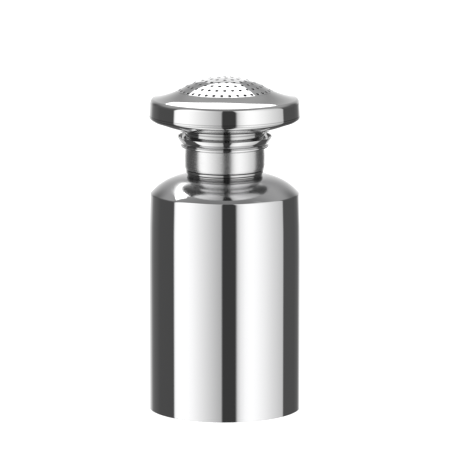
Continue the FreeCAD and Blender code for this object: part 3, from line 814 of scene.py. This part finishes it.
class Nodes:
    """Short ways to add the nodes of a material or world."""

    def __init__(self, tree):
        self.tree = tree
        tree.nodes.clear()

    def add(self, kind, settings=None, **inputs):
        """A node of that kind. An input given as a socket is linked, and any other is set.

        Inputs go by their names, or as n0, n1 and so on by their numbers.
        """
        node = self.tree.nodes.new(kind)
        for name, value in (settings or {}).items():
            setattr(node, name, value)
        for name, value in inputs.items():
            key = int(name[1:]) if name[0] == "n" and name[1:].isdigit() else name.replace("_", " ")
            if isinstance(value, bpy.types.NodeSocket):
                self.tree.links.new(value, node.inputs[key])
            else:
                node.inputs[key].default_value = value
        return node

    def math(self, operation, first, second=0.0, third=0.0):
        settings = {"operation": operation}
        return self.add("ShaderNodeMath", settings, n0=first, n1=second, n2=third).outputs[0]

    def step(self, value, low, high):
        """Smooth step from 0 at low to 1 at high."""
        settings = {"interpolation_type": "SMOOTHSTEP"}
        node = self.add("ShaderNodeMapRange", settings, n0=value, n1=low, n2=high)
        return node.outputs[0]

    def window(self, value, low, high, soft):
        """1 between low and high, 0 outside, with soft edges."""
        rise = self.step(value, low - soft, low + soft)
        fall = self.step(value, high - soft, high + soft)
        return self.math("SUBTRACT", rise, fall)

    def blend(self, share, first, second):
        """First at share 0, second at share 1, for plain numbers."""
        node = self.add("ShaderNodeMix", {"data_type": "FLOAT"}, n0=share, n2=first, n3=second)
        return node.outputs[0]


def new_material(name):
    """A material with its node helper, its Principled shader, and the point's object coordinates."""
    made = bpy.data.materials.new(name)
    made.use_nodes = True
    nodes = Nodes(made.node_tree)
    shader = nodes.add("ShaderNodeBsdfPrincipled")
    nodes.add("ShaderNodeOutputMaterial", Surface=shader.outputs[0])
    place = nodes.add("ShaderNodeTexCoord").outputs["Object"]
    return made, nodes, shader, place


STEEL_BLUE = 1.008
# Softness in metres of the edges of the painted shade lines.
SHADE_LINE_SOFTNESS = 0.00006
# Polishing rings: the texture's scale round the axis and across the rings, and their height in metres.
RING_ROUND_SCALE = 1.5
RING_ACROSS_SCALE = 5200.0
RING_HEIGHT = 0.00002
# Uneven gloss: the scale of its noise, and the noise at which steel is glossy and matte.
UNEVEN_SCALE = 90.0
GLOSSY_NOISE = 0.12
MATTE_NOISE = 0.42
# The polishing wheel doesn't reach the crown beside the neck. It is hazy within the first radius
# and clear beyond the second.
HAZE_RADIUS = 28.0
CLEAR_RADIUS = 31.5


def turned_coordinates(nodes, place):
    """Coordinates that stretch a texture into rings about the axis."""
    split = nodes.add("ShaderNodeSeparateXYZ", n0=place)
    across = nodes.add("ShaderNodeCombineXYZ", n0=split.outputs[0], n1=split.outputs[1])
    radius = nodes.add("ShaderNodeVectorMath", {"operation": "LENGTH"}, n0=across.outputs[0])
    angle = nodes.math("ARCTAN2", split.outputs[1], split.outputs[0])
    return nodes.add(
        "ShaderNodeCombineXYZ",
        n0=nodes.math("MULTIPLY", radius.outputs["Value"], RING_ACROSS_SCALE),
        n1=nodes.math("MULTIPLY", nodes.math("ABSOLUTE", angle), RING_ROUND_SCALE),
        n2=nodes.math("MULTIPLY", split.outputs[2], RING_ACROSS_SCALE),
    ).outputs[0]


def steel(name, tone, gloss, matte, ring_depth, shade_lines=(), haze=0.0):
    """Stainless steel with polishing rings, a slightly uneven gloss, painted shade lines at given
    heights and a hazy middle.
    """
    made, nodes, shader, place = new_material(name)
    shader.inputs["Base Color"].default_value = (tone, tone, tone * STEEL_BLUE, 1)
    shader.inputs["Metallic"].default_value = 1.0
    # Painted shade: the base colour is darkened in thin bands at given heights, standing in for shade
    # in grooves, at joints and along dark bands.
    if shade_lines:
        height = nodes.add("ShaderNodeSeparateXYZ", n0=place).outputs[2]
        bright = 1.0
        for middle, half, depth in shade_lines:
            low, high = (middle - half) * MM, (middle + half) * MM
            line = nodes.window(height, low, high, SHADE_LINE_SOFTNESS)
            bright = nodes.math("MULTIPLY", nodes.math("MULTIPLY_ADD", line, -depth, 1.0), bright)
        shade = nodes.math("MULTIPLY", bright, tone)
        dark = nodes.add("ShaderNodeCombineColor", n0=shade, n1=shade, n2=shade)
        nodes.tree.links.new(dark.outputs[0], shader.inputs["Base Color"])
    rings = turned_coordinates(nodes, place)
    fine = nodes.add("ShaderNodeTexNoise", n0=rings, Scale=1.0, Detail=3.0, Roughness=0.6)
    wide = nodes.add("ShaderNodeTexNoise", n0=place, Scale=UNEVEN_SCALE, Detail=4.0, Roughness=0.55)
    mixed = nodes.math("MULTIPLY", fine.outputs[0], wide.outputs[0])
    noise = {"n0": mixed, "n1": GLOSSY_NOISE, "n2": MATTE_NOISE}
    roughness = nodes.add("ShaderNodeMapRange", n3=gloss, n4=matte, **noise).outputs[0]
    if haze:
        across = nodes.add("ShaderNodeVectorMath", {"operation": "MULTIPLY"}, n0=place, n1=(1, 1, 0))
        radius = nodes.add("ShaderNodeVectorMath", {"operation": "LENGTH"}, n0=across.outputs[0])
        clear = nodes.step(radius.outputs["Value"], HAZE_RADIUS * MM, CLEAR_RADIUS * MM)
        roughness = nodes.math("ADD", roughness, nodes.math("MULTIPLY_ADD", clear, -haze, haze))
    nodes.tree.links.new(roughness, shader.inputs["Roughness"])
    relief = {"Strength": ring_depth, "Distance": RING_HEIGHT, "Height": fine.outputs[0]}
    bump = nodes.add("ShaderNodeBump", **relief)
    nodes.tree.links.new(bump.outputs[0], shader.inputs["Normal"])
    return made


# The silicone's two tones, and the scale and the height in metres of its mottle.
MILKY_DARK = (0.78, 0.78, 0.76, 1)
MILKY_LIGHT = (0.88, 0.88, 0.86, 1)
MOTTLE_SCALE = 700.0
MOTTLE_HEIGHT = 0.00005


def silicone():
    """Milky silicone, matte, with a faint mottle."""
    made, nodes, shader, place = new_material("silicone_milky")
    mottle = nodes.add("ShaderNodeTexNoise", n0=place, Scale=MOTTLE_SCALE, Detail=3.0).outputs[0]
    mix = {"data_type": "RGBA"}
    tone = nodes.add("ShaderNodeMix", mix, n0=mottle, n6=MILKY_DARK, n7=MILKY_LIGHT)
    nodes.tree.links.new(tone.outputs[2], shader.inputs["Base Color"])
    shader.inputs["Roughness"].default_value = 0.55
    shader.inputs["Subsurface Weight"].default_value = 0.2
    shader.inputs["Subsurface Scale"].default_value = 0.002
    bump = nodes.add("ShaderNodeBump", Strength=0.2, Distance=MOTTLE_HEIGHT, Height=mottle)
    nodes.tree.links.new(bump.outputs[0], shader.inputs["Normal"])
    return made


def finish(piece, body, node, material):
    """Seats a piece: its body, the node that it stands for and its material."""
    piece.data.materials.append(material)
    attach(piece, body)
    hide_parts(node)


def photo_camera():
    """The camera of the photograph, from where the base's centre stands in its picture."""
    image_px = 452
    focal_px = 4500.0
    base_px = (224.8, 406.0)
    look_down = math.radians(10.2)
    base_scale = 0.435 * MM
    data = bpy.data.cameras.new("camera")
    data.sensor_width = 36.0
    data.lens = data.sensor_width * focal_px / image_px
    data.clip_start, data.clip_end = 0.1, 50.0
    camera = bpy.data.objects.new("camera", data)
    bpy.context.scene.collection.objects.link(camera)
    camera.rotation_euler = (math.pi / 2 - look_down, 0, 0)
    turn = camera.rotation_euler.to_matrix()
    middle = image_px / 2
    depth = base_scale * focal_px
    ray = Vector(((base_px[0] - middle) * base_scale, (middle - base_px[1]) * base_scale, -depth))
    camera.location = -(turn @ ray)
    bpy.context.scene.camera = camera


def floor():
    """A plain pale floor just under the base. It isn't mirrored in the steel, as in the photograph."""
    half = 6.0
    drop = 0.00002
    mesh = bpy.data.meshes.new("floor")
    corners = [(-half, -half, 0), (half, -half, 0), (half, half, 0), (-half, half, 0)]
    mesh.from_pydata(corners, [], [(0, 1, 2, 3)])
    plane = bpy.data.objects.new("floor", mesh)
    plane.location.z = -drop
    bpy.context.scene.collection.objects.link(plane)
    plane.visible_glossy = False
    made, _, shader, _ = new_material("floor_white")
    shader.inputs["Base Color"].default_value = (0.7, 0.7, 0.7, 1)
    shader.inputs["Roughness"].default_value = 0.8
    shader.inputs["Emission Color"].default_value = (1, 1, 1, 1)
    shader.inputs["Emission Strength"].default_value = 0.75
    mesh.materials.append(made)


# The studio, as brightness by direction. Azimuth 0 is the camera's side and 90 the right.
# Each row is where a level is reached, and the levels run evenly from row to row.
BANDS = [
    (-180.0, 1.70),
    (-165.0, 1.55),
    (-154.0, 0.89),
    (-146.0, 0.50),
    (-142.0, 0.26),
    (-134.0, 0.165),
    (-116.0, 0.103),
    (-84.0, 0.10),
    (-81.2, 1.48),
    (-74.0, 1.62),
    (-62.0, 1.63),
    (-50.0, 1.48),
    (-5.2, 0.645),
    (-3.8, 0.062),
    (16.2, 0.062),
    (19.4, 0.95),
    (24.0, 1.27),
    (31.0, 1.50),
    (40.0, 1.60),
    (50.0, 1.51),
    (62.0, 1.34),
    (76.0, 1.11),
    (98.3, 0.81),
    (100.3, 0.11),
    (130.0, 0.11),
    (142.0, 0.15),
    (148.0, 0.28),
    (156.0, 1.07),
    (165.0, 1.60),
    (180.0, 1.70),
]
# The ceiling, from the camera's side (0) over the zenith (90) to the far side (180).
CEILING = [
    (0.0, 0.25),
    (75.0, 0.27),
    (90.0, 0.30),
    (100.0, 0.36),
    (112.0, 0.45),
    (135.0, 0.51),
    (142.0, 0.47),
    (149.0, 0.40),
    (154.0, 0.42),
    (160.0, 0.52),
    (166.0, 0.65),
    (171.0, 0.85),
    (175.0, 1.08),
    (180.0, 1.60),
]
# The bands in front end in the ceiling between these heights, in degrees.
FRONT_TOP = (50.0, 68.0)
# Behind, from this far to either side of the middle of the front, the ceiling comes lower.
FRONT_MIDDLE = 9.0
FRONT_HALF = (89.0, 92.0)
FAR_TOP = (0.0, 6.0)
# The dark flags at the sides stand up into it.
FLAG_LEVEL = 0.13
FLAG_AZIMUTH = (138.0, 160.0)
FLAG_TOP = (16.0, 44.0)
# The dark zone far behind and low down, its elevation falling from the first angle to the second.
LOW_LEVEL = 0.16
LOW_AZIMUTH = (142.0, 152.0)
LOW_TOP = (-22.0, -30.0)


def level_ramp(nodes, angle, rows):
    """A ramp of brightness levels over the angles of the rows."""
    low, high = rows[0][0], rows[-1][0]
    share = nodes.math("MULTIPLY_ADD", angle, 1 / (high - low), -low / (high - low))
    ramp = nodes.add("ShaderNodeValToRGB", n0=share)
    stops = ramp.color_ramp.elements
    while len(stops) < len(rows):
        stops.new(0.5)
    for stop, (at, level) in zip(stops, rows):
        stop.position = (at - low) / (high - low)
        stop.color = (level, level, level, 1)
    return ramp.outputs[0]


def studio():
    """Tall soft lights and dark flags round the object under a grey ceiling."""
    world = bpy.data.worlds.new("studio")
    bpy.context.scene.world = world
    world.use_nodes = True
    nodes = Nodes(world.node_tree)
    way = nodes.add("ShaderNodeTexCoord").outputs["Generated"]
    x, y, z = nodes.add("ShaderNodeSeparateXYZ", n0=way).outputs
    back = nodes.math("MULTIPLY", y, -1.0)
    azimuth = nodes.math("DEGREES", nodes.math("ARCTAN2", x, back))
    elevation = nodes.math("DEGREES", nodes.math("ARCSINE", z))
    over = nodes.math("DEGREES", nodes.math("ARCTAN2", z, back))
    bands = level_ramp(nodes, azimuth, BANDS)
    ceiling = level_ramp(nodes, over, CEILING)
    front = nodes.blend(nodes.step(elevation, *FRONT_TOP), bands, ceiling)
    beside = nodes.math("SUBTRACT", 1.0, nodes.step(nodes.math("ABSOLUTE", azimuth), *FLAG_AZIMUTH))
    below = nodes.math("SUBTRACT", 1.0, nodes.step(elevation, *FLAG_TOP))
    far = nodes.blend(nodes.math("MULTIPLY", beside, below), ceiling, FLAG_LEVEL)
    off = nodes.math("ABSOLUTE", nodes.math("SUBTRACT", azimuth, FRONT_MIDDLE))
    behind = nodes.math("MULTIPLY", nodes.step(off, *FRONT_HALF), nodes.step(elevation, *FAR_TOP))
    around = nodes.blend(behind, front, far)
    past = nodes.step(nodes.math("ABSOLUTE", azimuth), *LOW_AZIMUTH)
    low = nodes.math("MULTIPLY", past, nodes.step(elevation, *LOW_TOP))
    backdrop = nodes.add("ShaderNodeBackground", n0=nodes.blend(low, around, LOW_LEVEL))
    nodes.add("ShaderNodeOutputWorld", Surface=backdrop.outputs[0])


# Soft boxes behind, high up or low down, each mirrored by one piece: name, piece, shape, the two
# angles of its middle (over the zenith, where 90 is the zenith and 180 is level behind, and to the
# right), its spans in the same order, its turn about the middle, and its brightness.
SOFT_BOXES = [
    ("dome_box", "strainer_dome", "RECTANGLE", (119.2, -7.0), (42.2, 30.5), 0.0, 1.8),
    ("dome_side_box", "strainer_dome", "RECTANGLE", (114.5, 11.5), (33.0, 12.0), 0.0, 1.8),
    ("dome_corner_box", "strainer_dome", "RECTANGLE", (132.4, 8.7), (17.5, 10.4), 43.3, 1.8),
    ("dome_top_box", "strainer_dome", "RECTANGLE", (159.0, -0.5), (28.0, 16.0), 0.0, 0.7),
    ("brim_box", "head_shell", "ELLIPSE", (148.0, -0.9), (30.0, 15.4), 0.0, 1.8),
    ("shoulder_box", "can_shell", "RECTANGLE", (129.8, -22.1), (43.8, 11.0), -60.8, 1.8),
    ("shoulder_low_box", "can_shell", "RECTANGLE", (117.5, -23.5), (13.0, 13.0), 0.0, 1.8),
    ("collar_left_box", "spun_collar", "ELLIPSE", (208.0, -38.0), (22.0, 24.0), 0.0, 0.5),
    ("collar_right_box", "spun_collar", "ELLIPSE", (205.0, 30.0), (12.0, 16.0), 0.0, 0.5),
    ("rim_left_box", "spun_collar", "RECTANGLE", (167.0, 45.0), (16.0, 30.0), 0.0, 0.8),
    ("rim_right_box", "spun_collar", "RECTANGLE", (167.0, -45.0), (16.0, 30.0), 0.0, 0.8),
]
BOX_DISTANCE = 3.0


def soft_box(name, piece, shape, middle, spans, turn, level):
    """A flat light that only that piece mirrors."""
    over, aside = (math.radians(angle) for angle in middle)
    way = Vector((math.sin(aside), -math.cos(over) * math.cos(aside), math.sin(over) * math.cos(aside)))
    data = bpy.data.lights.new(name, "AREA")
    data.shape = shape
    data.size_y, data.size = (2 * BOX_DISTANCE * math.tan(math.radians(span) / 2) for span in spans)
    filled = math.pi / 4 if shape == "ELLIPSE" else 1.0
    # The power that makes the light's face as bright as its level.
    data.energy = level * math.pi * filled * data.size * data.size_y
    light = bpy.data.objects.new(name, data)
    bpy.context.scene.collection.objects.link(light)
    head = Vector((0, 0, WALL_TOP * MM))
    light.location = head + way * BOX_DISTANCE
    facing = (-way).to_track_quat("-Z", "Y").to_matrix()
    light.rotation_euler = (facing @ Matrix.Rotation(math.radians(turn), 3, "Z")).to_euler()
    light.visible_camera = False
    only = bpy.data.collections.new(name + "_receiver")
    only.objects.link(bpy.data.objects[piece])
    light.light_linking.receiver_collection = only


photo_camera()
floor()
studio()

# Painted shade lines on single pieces, at their grooves, joints and bands: height, half width and depth
# of the darkening.
barrel_shade_lines = [(BARREL_FOOT + 0.1, 0.14, 0.7), (COLLAR_FOOT - 0.25, 0.2, 0.3)]
bead_shade_lines = [(LOWER_BEAD + 0.2, 0.2, 0.8), (UPPER_BEAD + 0.05, 0.24, 0.85), (BEAD_TOP, 0.1, 0.7)]
collar_shade_lines = [(COLLAR_FOOT + 1.75, 0.2, 0.5), (COLLAR_FOOT + 2.8, 0.2, 0.25)]
stem_shade_lines = [(HEAD_FOOT - 1.5, 0.3, 0.4)]
dish_shade_lines = [(SEAM - 0.4, 0.2, 0.35), (SEAM - 1.4, 0.22, 0.35)]
shell_shade_lines = [(SEAM + 0.5, 0.2, 0.35)]

# The finishes: name, tone, roughness where glossy and where matte, depth of the polishing rings, and
# the painted shade lines where a piece has them.
polished = steel("polished_steel", 0.64, 0.02, 0.05, 0.004)
crowned = steel("polished_can", 0.64, 0.02, 0.05, 0.004, haze=0.13)
capped = steel("polished_cap", 0.64, 0.02, 0.05, 0.006, shell_shade_lines)
dished = steel("polished_dish", 0.60, 0.02, 0.05, 0.006, dish_shade_lines)
rimmed = steel("polished_collar", 0.60, 0.03, 0.06, 0.006, collar_shade_lines)
beaded = steel("beaded_steel", 0.52, 0.05, 0.10, 0.006, bead_shade_lines)
brushed = steel("brushed_steel", 0.64, 0.22, 0.28, 0.03, barrel_shade_lines)
ringed = steel("ringed_steel", 0.48, 0.10, 0.16, 0.03, stem_shade_lines)
satin = steel("turned_steel", 0.56, 0.24, 0.36, 0.6)
milky = silicone()

PIECES = [
    (body_shell, "can", "body_shell", "polished_steel", crowned),
    (base_plate, "can", "base_plate", "polished_steel", polished),
    (neck_bead_ring, "can", "neck_bead_ring", "polished_steel", beaded),
    (neck_thread_sleeve, "can", "neck_thread_sleeve", "turned_steel", satin),
    (seal_ring, "seal", "seal_ring", "silicone", milky),
    (neck_barrel, "head", "neck_barrel", "polished_steel", brushed),
    (thread_insert, "head", "thread_insert", "turned_steel", satin),
    (flared_collar, "head", "flared_collar", "polished_steel", rimmed),
    (feed_stem, "head", "feed_stem", "polished_steel", ringed),
    (cap_underside, "head", "cap_underside", "polished_steel", dished),
    (cap_shell, "head", "cap_shell", "polished_steel", capped),
    (perforated_dome, "head", "perforated_dome", "polished_steel", polished),
    (dome_retaining_ring, "head", "dome_retaining_ring", "turned_steel", satin),
]
for build, body, node, slot, material in PIECES:
    finish(build(), body, node, material)

for box in SOFT_BOXES:
    soft_box(*box)

bpy.context.scene.view_settings.view_transform = "Standard"
